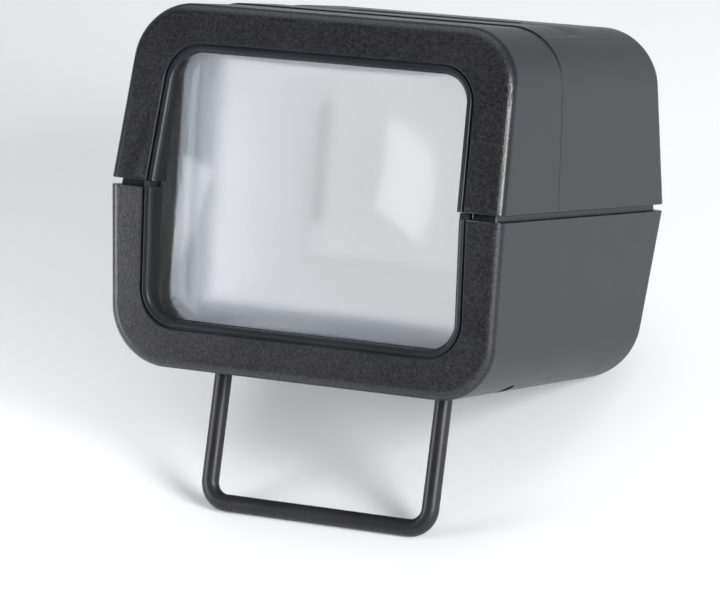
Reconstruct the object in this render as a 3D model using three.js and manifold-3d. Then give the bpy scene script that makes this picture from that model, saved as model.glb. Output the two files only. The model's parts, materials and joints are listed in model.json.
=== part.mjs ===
// Slide viewer for mounted 35 mm slides.
// A plastic body in three shells round a large lens, with a sprung slide carrier, a small
// battery lamp behind an opal plate, a lift-off rear cover and a folding wire stand.
//
// The body is drawn level: X to the right, Y to the rear, Z up, with its front ridge at y = 0
// and the seam between the lower and the upper shells at z = 0. A last group then leans it
// back, as it stands on its wire stand and its lower rear edge, on the plane z = 0.

import * as THREE from 'three';
import { mergeVertices } from 'three/addons/utils/BufferGeometryUtils.js';
import Module from 'manifold-3d';

// ---- Driving dimensions, millimetres ----

const clear = 0.3; // gap between neighbouring pieces

const bodyHalfWidth = 51;
const bodyDepth = 104;
const wall = 2;
const seamGap = 1.6;
const frontEdge = 2.4; // rounding of the front edges
const rearEdge = 4; // rounding of the rear edges
const jointY = 33.5; // joint between front frame and rear cover

const lower = {
  up: -1, height: 43.5, radius: 14.2, sideSlope: 0.035, frontSlope: 0.08, rearSlope: 0.21,
};
const frame = {
  up: 1, height: 43.2, radius: 13.8, sideSlope: 0.047, frontSlope: 0.15, rearSlope: 0.2,
};
const cover = { ...frame, height: 43.6 };

const tongue = { inset: 2.3, thickness: 1.4, top: 4.5, bottom: -6 };

const windowHalfWidth = 39.8;
const windowHalfHeight = 31.8;
const windowRadius = 7;
const bezelStep = { grow: 2.2, depth: 0.5 }; // shallow recess round the window
const lensRim = { grow: 2.8, rear: 18.5 }; // wall that runs back from the window, round the lens

const lens = {
  grow: 0.9, apexY: 5, centreThickness: 22.7, frontRadius: 400, rearRadius: 88,
};
const retainer = { front: 19, rear: 24.2, innerGrow: -0.8 };
const retainerLug = { x: 44.6, z: 24, width: 3.8, height: 6 };

const slideSize = 50;
const slideCentreZ = 4; // centre of the picture with the slide pressed down
const carrierTravel = 6;
const pictureWindow = 38;
const channel = { front: 52, rear: 58, halfWidth: 25.6 };
const gate = { halfWidth: 31, plate: 2, top: 26.5, bottom: -35, shelf: 2 };
const carrier = { thickness: 3, front: 52.3, rear: 57.2, stemX: 18, stemRadius: 1.3, stemLength: 6 };
const carrierTab = { outerX: 34.5, front: 53.9, rear: 56.1, height: 2 };
const carrierSpring = { radius: 2, wire: 0.5, turns: 6 };

const trough = { floor: 41.5, rear: 70 };
const scoop = { halfWidth: 24, floor: 30, rear: 70 };

const lampHouse = { half: 22, skin: 1.2, front: 62.5, rear: 86 };
const diffuser = { half: 22, front: 60.7, thickness: 1.5 };
const lampZ = slideCentreZ;

const cell = { radius: 7.1, length: 49.2, nubRadius: 2.7, nubLength: 1.3 };
const cellZ = -28.4;
const cellRows = [69.8, 85.2];
const contactX = 28.1; // outer face of the contact plates
const contactSkin = 0.5;
const tray = { front: 61.2, rear: 93.8, halfLength: 29.8, skin: 1.2, floor: -36.8, top: -30 };

const leaf = { pivotY: 84, tipY: 52.5, z: -18.4, skin: 0.4, inner: 31.4, outer: 35.6 };
const fixedContactZ = -26;

const wire = { radius: 2.1, legX: 29.2, legLength: 36, bend: 5, lean: 6.83 };
const pivot = { y: 25, z: -40.4, stubX: 35, bore: 2.4 };
const recess = { halfWidth: 2.6, front: 22.1, top: -38, skin: 1 };

const housingScrew = { x: 41.5, y: 30, headZ: -37, tipZ: 12 };
const screw = { radius: 1.2, headRadius: 2.5, headHeight: 1.5, boss: 3.1 };

const colours = {
  shell: [0x3d3d42, 0.5, 0],
  wire: [0x1b1b1d, 0.45, 0.4],
  glass: [0xdfe6ee, 0.05, 0],
  blackPlastic: [0x151517, 0.6, 0],
  whitePlastic: [0xe9eaec, 0.5, 0],
  opal: [0xf2f3f4, 0.4, 0],
  spring: [0xb9bcc0, 0.3, 0.9],
  brass: [0xb6924a, 0.35, 0.9],
  steel: [0x8d9095, 0.35, 0.9],
  cell: [0x5b6e7d, 0.35, 0.3],
};

// ---- Solids ----

const wasm = await Module();
wasm.setup();

function toSolid(geometry) {
  geometry.deleteAttribute('normal');
  geometry.deleteAttribute('uv');
  const merged = mergeVertices(geometry, 1e-4);
  return new wasm.Manifold(new wasm.Mesh({
    numProp: 3,
    vertProperties: new Float32Array(merged.attributes.position.array),
    triVerts: new Uint32Array(merged.index.array),
  }));
}

function toGeometry(solid) {
  const mesh = solid.getMesh();
  const geometry = new THREE.BufferGeometry();
  geometry.setAttribute('position', new THREE.BufferAttribute(mesh.vertProperties, 3));
  geometry.setIndex(new THREE.BufferAttribute(mesh.triVerts, 1));
  return geometry;
}

function join(...solids) {
  return solids.reduce((whole, solid) => whole.add(solid));
}

// A box given by its limits along X, Y and Z.
function box([x0, x1], [y0, y1], [z0, z1]) {
  const geometry = new THREE.BoxGeometry(x1 - x0, y1 - y0, z1 - z0);
  geometry.translate((x0 + x1) / 2, (y0 + y1) / 2, (z0 + z1) / 2);
  return toSolid(geometry);
}

// A flat outline in X and Z, drawn out along Y, with its end edges rounded when edge is given.
function extrudeY(shape, y0, y1, edge = 0) {
  const geometry = new THREE.ExtrudeGeometry(shape, {
    depth: y1 - y0 - 2 * edge,
    curveSegments: 5,
    bevelEnabled: edge > 0,
    bevelSize: edge,
    bevelThickness: edge,
    bevelOffset: -edge,
    bevelSegments: 3,
  });
  geometry.rotateX(Math.PI / 2);
  geometry.translate(0, y1 - edge, 0);
  return geometry;
}

// An outline in Y and Z, drawn out along X.
function extrudeX(points, x0, x1) {
  const shape = new THREE.Shape(points.map(([y, z]) => new THREE.Vector2(y, z)));
  const geometry = new THREE.ExtrudeGeometry(shape, { depth: x1 - x0, bevelEnabled: false });
  geometry.applyMatrix4(new THREE.Matrix4().set(0, 0, 1, x0, 1, 0, 0, 0, 0, 1, 0, 0, 0, 0, 0, 1));
  return toSolid(geometry);
}

function roundedRectangle(halfWidth, halfHeight, radius) {
  const shape = new THREE.Shape();
  const x = halfWidth - radius;
  const z = halfHeight - radius;
  shape.absarc(x, z, radius, 0, Math.PI / 2);
  shape.absarc(-x, z, radius, Math.PI / 2, Math.PI);
  shape.absarc(-x, -z, radius, Math.PI, 1.5 * Math.PI);
  shape.absarc(x, -z, radius, 1.5 * Math.PI, 2 * Math.PI);
  return shape;
}

// A straight prism as the window, grown outwards by grow.
function windowPrism(grow, y0, y1) {
  const shape = roundedRectangle(
    windowHalfWidth + grow, windowHalfHeight + grow, windowRadius + Math.max(grow, 0),
  );
  return toSolid(extrudeY(shape, y0, y1));
}

// A cylinder along X, Y or Z from its centre point at the low end.
function rod(axis, radius, length, [x, y, z], sides = 16) {
  const geometry = new THREE.CylinderGeometry(radius, radius, length, sides);
  geometry.translate(0, length / 2, 0);
  if (axis === 'x') geometry.rotateZ(-Math.PI / 2);
  if (axis === 'z') geometry.rotateX(Math.PI / 2);
  geometry.translate(x, y, z);
  return toSolid(geometry);
}

// A turned piece about an axis along Y; the profile is [radius, y] from axis to axis.
function turnedY(profile, z, sides = 24) {
  const points = profile.map(([radius, y]) => new THREE.Vector2(radius, y));
  const geometry = new THREE.LatheGeometry(points, sides);
  geometry.translate(0, 0, z);
  return toSolid(geometry);
}

// A box whose front and rear faces have their own sizes and heights.
function taperedBox(front, rear, y0, y1) {
  const geometry = new THREE.BoxGeometry(2, 2, 2);
  const position = geometry.attributes.position;
  for (let i = 0; i < position.count; i += 1) {
    const end = position.getY(i) < 0 ? front : rear;
    const y = position.getY(i) < 0 ? y0 : y1;
    position.setXYZ(i, position.getX(i) * end.halfWidth, y, end.z + position.getZ(i) * end.halfHeight);
  }
  return toSolid(geometry);
}

// ---- Body shells ----

// Front-view outline of half the body, with rounded outer corners and sides that lean in.
// It runs a little past the seam, where the half is cut off later.
function halfOutline(half, inset) {
  const pastSeam = 8;
  const halfWidth = bodyHalfWidth - inset;
  const radius = half.radius - inset;
  const centreZ = half.height - half.radius;
  const lean = Math.atan(half.sideSlope);
  const centreX = halfWidth - half.sideSlope * centreZ - radius / Math.cos(lean);
  const skirtX = halfWidth + half.sideSlope * pastSeam;
  const shape = new THREE.Shape();
  shape.moveTo(-skirtX, -pastSeam);
  shape.lineTo(skirtX, -pastSeam);
  shape.absarc(centreX, centreZ, radius, lean, Math.PI / 2);
  shape.absarc(-centreX, centreZ, radius, Math.PI / 2, Math.PI - lean);
  return shape;
}

// The front and rear faces fall back from the seam, so each is a shallow ridge.
function slopeFaces(geometry, half) {
  const position = geometry.attributes.position;
  for (let i = 0; i < position.count; i += 1) {
    const y = position.getY(i);
    const z = position.getZ(i);
    const shift = y < bodyDepth / 2 ? half.frontSlope * z : -half.rearSlope * z;
    position.setY(i, y + shift);
  }
  return geometry;
}

function halfBody(half, inset) {
  const shape = halfOutline(half, inset);
  const rounding = (edge) => Math.max(edge - inset, 0.4);
  const margin = 20;
  const front = slopeFaces(extrudeY(shape, inset, bodyDepth + margin, rounding(frontEdge)), half);
  const rear = slopeFaces(extrudeY(shape, -margin, bodyDepth - inset, rounding(rearEdge)), half);
  if (half.up < 0) {
    front.rotateY(Math.PI);
    rear.rotateY(Math.PI);
  }
  return toSolid(front).intersect(toSolid(rear));
}

// The slab of a body half between two heights.
function slab(solid, z0, z1) {
  return solid.intersect(box([-80, 80], [-20, 140], [z0, z1]));
}

function shallowWindowStep(half) {
  const shape = roundedRectangle(
    windowHalfWidth + bezelStep.grow, windowHalfHeight + bezelStep.grow, windowRadius + bezelStep.grow,
  );
  const geometry = extrudeY(shape, -10, bezelStep.depth);
  const position = geometry.attributes.position;
  for (let i = 0; i < position.count; i += 1) {
    position.setY(i, position.getY(i) + half.up * half.frontSlope * position.getZ(i));
  }
  return toSolid(geometry);
}

// The lens's two curved faces, moved apart by clearance, out to a radius past its corners.
function lensDisc(clearance, rearRun = 0) {
  const rimRadius = 53;
  const steps = 7;
  const frontApex = lens.apexY - clearance;
  const rearApex = lens.apexY + lens.centreThickness + clearance;
  const sag = (radius, r) => radius - Math.sqrt(radius * radius - r * r);
  const profile = [];
  for (let i = 0; i <= steps; i += 1) {
    const r = (rimRadius * i) / steps;
    profile.push([r, frontApex + sag(lens.frontRadius, r)]);
  }
  for (let i = steps; i >= 0; i -= 1) {
    const r = (rimRadius * i) / steps;
    profile.push([r, rearApex + rearRun - (rearRun > 0 ? 0 : sag(lens.rearRadius, r))]);
  }
  return turnedY(profile, 0, 40);
}

function lensSolid(clearance, rearRun = 0) {
  const prism = windowPrism(lens.grow + clearance, -5, 60);
  return prism.intersect(lensDisc(clearance, rearRun));
}

// Wall that runs back from the window round the edge of the lens.
function lensWall(halfSolid) {
  return windowPrism(lensRim.grow, 0.2, lensRim.rear).intersect(halfSolid);
}

// Bosses for the two retainer screws of one half.
function retainerBosses(half, halfSolid) {
  const z0 = retainerLug.z - retainerLug.height / 2;
  const z1 = retainerLug.z + retainerLug.height / 2;
  const heights = half.up > 0 ? [z0, z1] : [-z1, -z0];
  const bosses = [-1, 1].map((side) => {
    const inner = side * (retainerLug.x - retainerLug.width / 2);
    const limits = [inner, side * (bodyHalfWidth - 1)].sort((a, b) => a - b);
    return box(limits, [1, retainer.rear - 2 - clear], heights).intersect(halfSolid);
  });
  return join(...bosses);
}

function retainerScrewHoles(half) {
  const holes = [-1, 1].map((side) => rod(
    'y', screw.radius + clear, 14, [side * retainerLug.x, retainer.rear - 13.2, half.up * retainerLug.z],
  ));
  return join(...holes);
}

function upperFrontFrame() {
  const outer = slab(halfBody(frame, 0), seamGap / 2, 60);
  const front = outer.intersect(box([-80, 80], [-20, jointY], [-60, 60]));
  let solid = front.subtract(halfBody(frame, wall));
  solid = join(solid, lensWall(front), retainerBosses(frame, front));
  for (const side of [-1, 1]) {
    const post = rod('z', screw.boss, 30, [side * housingScrew.x, housingScrew.y, 5.5]);
    const ribLimits = [side * housingScrew.x, side * (bodyHalfWidth - 1.5)].sort((a, b) => a - b);
    const rib = box(ribLimits, [housingScrew.y - 1, housingScrew.y + 1], [5.5, 30]);
    solid = join(solid, post.intersect(front), rib.intersect(front));
    const hole = rod(
      'z', screw.radius + clear, housingScrew.tipZ + 10, [side * housingScrew.x, housingScrew.y, -9],
    );
    solid = solid.subtract(hole);
  }
  return solid
    .subtract(windowPrism(0, -10, 20))
    .subtract(shallowWindowStep(frame))
    .subtract(lensSolid(clear, 30))
    .subtract(retainerScrewHoles(frame));
}

// The tongue that stands in the seam, seen at the bottom of the gap all round the body.
function seamTongue() {
  const root = slab(halfBody(lower, wall - 0.5), tongue.bottom, -seamGap / 2 - 0.1);
  const neck = slab(halfBody(lower, tongue.inset), -seamGap, 0);
  const head = slab(halfBody(frame, tongue.inset), 0, tongue.top);
  const bore = join(
    slab(halfBody(lower, tongue.inset + tongue.thickness), tongue.bottom - 1, 0),
    slab(halfBody(frame, tongue.inset + tongue.thickness), 0, tongue.top + 1),
  );
  return join(root, neck, head)
    .subtract(bore)
    .subtract(windowPrism(lensRim.grow + 0.4, -10, 40));
}

// Recess for the folded stand, a bridge over it and the bearings for the wire's two stubs.
function standRecess() {
  const barY = pivot.y + wire.legLength;
  const legs = [-1, 1].map((side) => box(
    [side * wire.legX - recess.halfWidth, side * wire.legX + recess.halfWidth],
    [recess.front, barY],
    [-60, recess.top],
  ));
  const bar = box(
    [-wire.legX - recess.halfWidth, wire.legX + recess.halfWidth],
    [barY - recess.halfWidth, barY + recess.halfWidth],
    [-60, recess.top],
  );
  const bearings = [-1, 1].map((side) => rod(
    'x', pivot.bore, pivot.stubX + clear - wire.legX,
    [side > 0 ? wire.legX : -pivot.stubX - clear, pivot.y, pivot.z],
  ));
  return join(...legs, bar, ...bearings, ...recessBends());
}

// Inside of the recess's two bends, rounded so that the wire's bends clear it.
function recessBends() {
  return [-1, 1].map((side) => {
    const centreX = side * (wire.legX - wire.bend);
    const centreY = pivot.y + wire.legLength - wire.bend;
    const limits = [centreX, side * wire.legX].sort((a, b) => a - b);
    const heights = [-60, recess.top];
    const island = rod('z', wire.bend - recess.halfWidth, 40, [centreX, centreY, -70]);
    return box(limits, [centreY, centreY + wire.bend], heights).subtract(island);
  });
}

function standHousing() {
  const grow = recess.halfWidth + recess.skin;
  const barY = pivot.y + wire.legLength;
  const ceiling = recess.top + recess.skin - 0.2;
  const floor = -lower.height + 0.5;
  const legs = [-1, 1].map((side) => box(
    [side * wire.legX - grow, side * wire.legX + grow], [recess.front - 1.5, barY + grow], [floor, ceiling],
  ));
  const bar = box([-wire.legX - grow, wire.legX + grow], [barY - grow, barY + grow], [floor, ceiling]);
  const bearings = [-1, 1].map((side) => {
    const limits = [side * wire.legX, side * (pivot.stubX + 1.5)].sort((a, b) => a - b);
    return box(limits, [recess.front - 1.5, pivot.y + 4.5], [floor, ceiling]);
  });
  return join(...legs, bar, ...bearings);
}

function lowerShell() {
  const outer = slab(halfBody(lower, 0), -60, -seamGap / 2);
  let solid = outer.subtract(halfBody(lower, wall));
  solid = join(
    solid, seamTongue(), lensWall(outer), retainerBosses(lower, outer), standHousing().intersect(outer),
  );
  for (const side of [-1, 1]) {
    const foot = [side * housingScrew.x, housingScrew.y, -lower.height];
    const post = rod('z', screw.boss + 0.3, lower.height - 8, foot);
    solid = join(solid, post.intersect(outer));
    solid = solid
      .subtract(rod('z', screw.headRadius + clear, lower.height + housingScrew.headZ, foot))
      .subtract(rod('z', screw.radius + clear, lower.height, foot));
  }
  return solid
    .subtract(standRecess())
    .subtract(windowPrism(0, -10, 20))
    .subtract(shallowWindowStep(lower))
    .subtract(lensSolid(clear, 30))
    .subtract(retainerScrewHoles(lower));
}

// Rear cover: the trough across its top fades out on the rounded corners; inside it a scoop
// drops to the slot, so that a finger reaches the slide.
function rearCover() {
  const outer = slab(halfBody(cover, 0), seamGap / 2, 60);
  const rear = outer.intersect(box([-80, 80], [jointY + clear, 140], [-60, 60]));
  const wellTop = 50;
  const well = extrudeX([
    [channel.front - 1.8, wellTop], [channel.front - 1.8, 27.8], [channel.rear + 2, 27.8],
    [scoop.rear + 3.5, 42], [scoop.rear + 3.5, wellTop],
  ], -channel.halfWidth - 2.4, channel.halfWidth + 2.4);
  const slot = box(
    [-channel.halfWidth - clear, channel.halfWidth + clear], [channel.front, channel.rear], [20, wellTop],
  );
  const troughCut = extrudeX([
    [channel.front, wellTop], [channel.front, trough.floor], [channel.rear, trough.floor],
    [trough.rear, cover.height], [trough.rear, wellTop],
  ], -60, 60);
  const scoopCut = extrudeX([
    [channel.front, wellTop], [channel.front, scoop.floor], [channel.rear, scoop.floor],
    [scoop.rear, cover.height], [scoop.rear, wellTop],
  ], -scoop.halfWidth, scoop.halfWidth);
  const underTrough = extrudeX([
    [channel.front - 2, wellTop], [channel.front - 2, trough.floor - 1.6],
    [channel.rear + 1, trough.floor - 1.6], [trough.rear + 3, cover.height - 1.8], [trough.rear + 3, wellTop],
  ], -60, 60).intersect(rear);
  return join(rear.subtract(halfBody(cover, wall)), well.intersect(rear), underTrough)
    .subtract(troughCut)
    .subtract(scoopCut)
    .subtract(slot);
}

// ---- Optics ----

function lensRetainer() {
  const ring = windowPrism(lensRim.grow - 0.3, retainer.front, retainer.rear)
    .subtract(windowPrism(retainer.innerGrow, retainer.front - 1, retainer.rear + 1))
    .subtract(lensSolid(clear));
  const lugs = [];
  for (const side of [-1, 1]) {
    for (const level of [-1, 1]) {
      const x = side * retainerLug.x;
      const z = level * retainerLug.z;
      const lug = box(
        [Math.min(x, side * 40), Math.max(x, side * 40)],
        [retainer.rear - 2, retainer.rear],
        [z - retainerLug.height / 2, z + retainerLug.height / 2],
      );
      const eye = rod('y', 2.6, 2, [x, retainer.rear - 2, z]);
      lugs.push(join(lug, eye).subtract(rod('y', screw.radius + clear, 4, [x, retainer.rear - 3, z])));
    }
  }
  return join(ring, ...lugs).subtract(windowPrism(retainer.innerGrow, retainer.front - 1, retainer.rear + 1));
}

function lightShaft() {
  const skin = 1.2;
  const rearY = channel.front - clear - gate.plate - 0.4;
  const front = { halfWidth: windowHalfWidth - 0.8, halfHeight: windowHalfHeight - 0.8, z: 0 };
  const rear = { halfWidth: 22, halfHeight: 22, z: slideCentreZ };
  const shrink = (end) => ({ ...end, halfWidth: end.halfWidth - skin, halfHeight: end.halfHeight - skin });
  const reach = (end, from, to) => ({
    halfWidth: from.halfWidth + (to.halfWidth - from.halfWidth) * end,
    halfHeight: from.halfHeight + (to.halfHeight - from.halfHeight) * end,
    z: from.z + (to.z - from.z) * end,
  });
  const over = 0.05;
  const length = rearY - (retainer.rear + 0.4);
  const bore = taperedBox(
    reach(-over, shrink(front), shrink(rear)), reach(1 + over, shrink(front), shrink(rear)),
    retainer.rear + 0.4 - over * length, rearY + over * length,
  );
  return taperedBox(front, rear, retainer.rear + 0.4, rearY).subtract(bore).subtract(lensSolid(clear));
}

// ---- Slide gate and carrier ----

function pictureCut(y0, y1) {
  const half = pictureWindow / 2;
  return box([-half, half], [y0, y1], [slideCentreZ - half, slideCentreZ + half]);
}

function gateFront() {
  const rear = channel.front - clear;
  return box([-gate.halfWidth, gate.halfWidth], [rear - gate.plate, rear], [gate.bottom, gate.top])
    .subtract(pictureCut(rear - gate.plate - 1, rear + 1));
}

function gateRear() {
  const front = channel.rear + clear;
  const heights = [gate.bottom, gate.top];
  const plate = box([-gate.halfWidth, gate.halfWidth], [front, front + gate.plate], heights);
  const rails = [-1, 1].map((side) => {
    const limits = [side * channel.halfWidth, side * gate.halfWidth].sort((a, b) => a - b);
    return box(limits, [channel.front, front + 0.5], heights);
  });
  const shelf = box(
    [-gate.halfWidth, gate.halfWidth], [channel.front, front + 0.5], [gate.bottom, gate.bottom + gate.shelf],
  );
  const tabSlot = box([channel.halfWidth - 1, gate.halfWidth + 1], [53.4, 56.6], [-25.5, -14.5]);
  return join(plate, ...rails, shelf)
    .subtract(pictureCut(front - 1, front + gate.plate + 1))
    .subtract(tabSlot);
}

const carrierTop = slideCentreZ - slideSize / 2 + carrierTravel;
const carrierBottom = carrierTop - carrier.thickness;

function slideCarrier() {
  const bar = box(
    [-channel.halfWidth + 0.4, channel.halfWidth - 0.4], [carrier.front, carrier.rear],
    [carrierBottom, carrierTop],
  );
  const tab = box(
    [channel.halfWidth - 1, carrierTab.outerX], [carrierTab.front, carrierTab.rear],
    [carrierBottom + 0.5, carrierBottom + 0.5 + carrierTab.height],
  );
  const stems = [-1, 1].map((side) => rod(
    'z', carrier.stemRadius, carrier.stemLength + 0.5,
    [side * carrier.stemX, (carrier.front + carrier.rear) / 2, carrierBottom - carrier.stemLength], 12,
  ));
  return join(bar, tab, ...stems);
}

// A round wire wound on a cylinder about a line along Z or X.
class Helix extends THREE.Curve {
  constructor(radius, length, turns, taper = 0) {
    super();
    Object.assign(this, { radius, length, turns, taper });
  }

  getPoint(t, target = new THREE.Vector3()) {
    const angle = 2 * Math.PI * this.turns * t;
    const radius = this.radius * (1 - this.taper * t);
    return target.set(radius * Math.cos(angle), radius * Math.sin(angle), this.length * t);
  }
}

function wireAlong(path, radius, steps, sides) {
  const section = new THREE.Shape();
  section.absarc(0, 0, radius, 0, 2 * Math.PI);
  return new THREE.ExtrudeGeometry(section, {
    steps, curveSegments: sides / 2, extrudePath: path, bevelEnabled: false,
  });
}

function carrierCoil(side) {
  const bottom = gate.bottom + gate.shelf + clear + carrierSpring.wire;
  const top = carrierBottom - clear - carrierSpring.wire;
  const helix = new Helix(carrierSpring.radius, top - bottom, carrierSpring.turns);
  const geometry = wireAlong(helix, carrierSpring.wire, carrierSpring.turns * 10, 6);
  geometry.translate(side * carrier.stemX, (carrier.front + carrier.rear) / 2, bottom);
  return toSolid(geometry);
}

// A leaf bowed forward into the channel, a short way in from one side of the slide.
function slideLeaf(side) {
  const bow = { z0: -8, z1: 18, depth: 1.7, skin: 0.35 };
  const radius = ((bow.z1 - bow.z0) ** 2 / 4 + bow.depth ** 2) / (2 * bow.depth);
  const centreY = channel.rear - bow.skin - bow.depth + radius;
  const centreZ = (bow.z0 + bow.z1) / 2;
  const sweep = Math.asin((bow.z1 - bow.z0) / 2 / radius);
  const shape = new THREE.Shape();
  shape.absarc(centreY, centreZ, radius, Math.PI - sweep, Math.PI + sweep);
  shape.absarc(centreY, centreZ, radius - bow.skin, Math.PI + sweep, Math.PI - sweep, true);
  const points = shape.getPoints(8).slice(0, -1).map((point) => [point.x, point.y]);
  const x = side * 22.2;
  return extrudeX(points, x - 1.8, x + 1.8);
}

// ---- Lamp ----

function lampHouseSolid() {
  const { half, skin, front, rear } = lampHouse;
  const outer = half + skin;
  return box([-outer, outer], [front, rear], [lampZ - outer, lampZ + outer])
    .subtract(box([-half, half], [front - 1, rear - skin], [lampZ - half, lampZ + half]))
    .subtract(rod('y', 7, 4, [0, rear - 2.5, lampZ], 24));
}

function lampSocket() {
  return turnedY([
    [0, 90.4], [5.2, 90.4], [5.2, 80], [6.6, 80], [6.6, 86.3],
    [9, 86.3], [9, 88], [6.6, 88], [6.6, 92], [0, 92],
  ], lampZ);
}

function bulbBase() {
  const profile = [[0, 90], [1.6, 90], [1.9, 89.2], [4.2, 88.4]];
  for (let ring = 0; ring < 4; ring += 1) {
    const y = 88 - ring * 2;
    profile.push([4.8, y], [4.3, y - 1]);
  }
  profile.push([4.6, 79.6], [0, 79.6]);
  return turnedY(profile.reverse(), lampZ, 16);
}

function bulbGlass() {
  const globe = { radius: 5.4, y: 71, neck: 3.6, rear: 79.3 };
  const profile = [[0, globe.y - globe.radius]];
  const steps = 10;
  const last = Math.PI - Math.asin(globe.neck / globe.radius);
  for (let i = 1; i <= steps; i += 1) {
    const angle = (last * i) / steps;
    profile.push([globe.radius * Math.sin(angle), globe.y - globe.radius * Math.cos(angle)]);
  }
  profile.push([globe.neck, globe.rear], [0, globe.rear]);
  return turnedY(profile, lampZ, 16);
}

// ---- Battery and switch ----

// Cells lie along X, side by side, and point opposite ways.
function batteryCell(row, direction) {
  const y = cellRows[row];
  const negativeX = direction > 0 ? -23.2 : 23.2;
  const body = [
    [0, 0], [5.5, 0], [5.5, 0.4], [cell.radius, 0.8], [cell.radius, cell.length - 0.8],
    [5.5, cell.length], [cell.nubRadius, cell.length], [cell.nubRadius, cell.length + cell.nubLength],
    [0, cell.length + cell.nubLength],
  ];
  const geometry = new THREE.LatheGeometry(body.map(([r, y0]) => new THREE.Vector2(r, y0)), 20);
  geometry.rotateZ(direction > 0 ? -Math.PI / 2 : Math.PI / 2);
  geometry.translate(negativeX, y, cellZ);
  return toSolid(geometry);
}

function batteryTray() {
  const outer = box([-tray.halfLength, tray.halfLength], [tray.front, tray.rear], [tray.floor, tray.top]);
  const inner = box(
    [-tray.halfLength + tray.skin, tray.halfLength - tray.skin],
    [tray.front + tray.skin, tray.rear - tray.skin],
    [tray.floor + 0.8, tray.top + 1],
  );
  return outer.subtract(inner);
}

// Conical contact coil that presses on the flat end of a cell.
function contactCoil(side, row) {
  const helix = new Helix(4.4, 3.6, 3, 0.45);
  const geometry = wireAlong(helix, 0.4, 30, 6);
  geometry.rotateY(side < 0 ? Math.PI / 2 : -Math.PI / 2);
  geometry.translate(side * (contactX - contactSkin - 0.1), cellRows[row], cellZ);
  return toSolid(geometry);
}

function contactPlate(side, y0, y1, z1) {
  const limits = [side * (contactX - contactSkin), side * contactX].sort((a, b) => a - b);
  return box(limits, [y0, y1], [-34, z1]);
}

function contactLink() {
  return join(contactPlate(-1, 63.5, 91.5, -23), contactCoil(-1, 0));
}

function contactPositive() {
  const heights = [fixedContactZ, fixedContactZ + leaf.skin];
  return join(
    contactPlate(1, 64, 76, fixedContactZ + leaf.skin),
    box([contactX - contactSkin, leaf.outer], [70, 76], heights),
    box([leaf.inner, leaf.outer], [leaf.tipY + 0.5, leaf.pivotY + 0.6], heights),
    rod('z', 1, 0.9, [(leaf.inner + leaf.outer) / 2, carrierTab.front + 1.1, fixedContactZ + 0.2], 12),
  );
}

function contactNegative() {
  return join(
    contactPlate(1, 79, 91.5, -22),
    contactCoil(1, 1),
    box([contactX - contactSkin, contactX], [90.5, 91.5], [-22.5, lampZ + 2]),
    box([7, contactX], [91, 91.5], [lampZ - 2, lampZ + 2]),
  );
}

function switchBlock() {
  const block = box([leaf.inner - 0.4, leaf.outer + 0.4], [leaf.pivotY + 1, 90], [-41.2, leaf.z + 0.2]);
  return block;
}

function lampStrip() {
  const up = box([leaf.inner, leaf.outer], [89.6, 90], [leaf.z + 0.6, lampZ + 2]);
  const foot = box([leaf.inner, leaf.outer], [leaf.pivotY + 1.4, 90], [leaf.z + 0.6, leaf.z + 1]);
  const across = box([7, leaf.outer], [89.6, 90], [lampZ - 2, lampZ + 2]);
  return join(up, foot, across);
}

function switchLeaf() {
  return box([leaf.inner, leaf.outer], [leaf.tipY, leaf.pivotY + 0.6], [leaf.z, leaf.z + leaf.skin]);
}

// ---- Stand ----

// Wire from one bearing stub, down a leg, along the foot bar and back, in the stand's plane.
function standGeometry() {
  const { legX, legLength, bend } = wire;
  const top = 3; // bend radius at the bearings
  const path = new THREE.CurvePath();
  const corners = [
    [-pivot.stubX, 0, 0], [-legX, 0, top], [-legX, -legLength, bend],
    [legX, -legLength, bend], [legX, 0, top], [pivot.stubX, 0, 0],
  ].map(([x, z, radius]) => ({ at: new THREE.Vector3(x, 0, z), radius }));
  let from = corners[0].at;
  for (let i = 1; i < corners.length - 1; i += 1) {
    const { at, radius } = corners[i];
    const before = corners[i - 1].at.clone().sub(at).setLength(radius).add(at);
    const after = corners[i + 1].at.clone().sub(at).setLength(radius).add(at);
    path.add(new THREE.LineCurve3(from, before));
    path.add(new THREE.CubicBezierCurve3(
      before, before.clone().lerp(at, 0.5523), after.clone().lerp(at, 0.5523), after,
    ));
    from = after;
  }
  path.add(new THREE.LineCurve3(from, corners[corners.length - 1].at));
  return wireAlong(path, wire.radius, 64, 12);
}

// ---- Fasteners ----

function housingScrewSolid(side) {
  const place = [side * housingScrew.x, housingScrew.y];
  const shankLength = housingScrew.tipZ - housingScrew.headZ + 0.5;
  const shank = rod('z', screw.radius, shankLength, [...place, housingScrew.headZ - 0.5], 12);
  const headBottom = housingScrew.headZ - clear - screw.headHeight;
  const head = rod('z', screw.headRadius, screw.headHeight, [...place, headBottom]);
  return join(shank, head);
}

function retainerScrewSolid(side, level) {
  const place = [side * retainerLug.x, level * retainerLug.z];
  const headY = retainer.rear + clear;
  const length = 13;
  const shank = rod('y', screw.radius, length, [place[0], headY + 0.5 - length, place[1]], 12);
  const head = rod('y', screw.headRadius, screw.headHeight, [place[0], headY, place[1]]);
  return join(shank, head);
}

// ---- Assembly ----

const level = new THREE.Group();

function addPart(name, shape, [colour, roughness, metalness], opacity = 1) {
  const geometry = shape instanceof THREE.BufferGeometry ? shape : toGeometry(shape);
  const material = new THREE.MeshStandardMaterial({ color: colour, roughness, metalness });
  material.transparent = opacity < 1;
  material.opacity = opacity;
  const mesh = new THREE.Mesh(geometry, material);
  mesh.name = name;
  level.add(mesh);
  return mesh;
}

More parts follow.
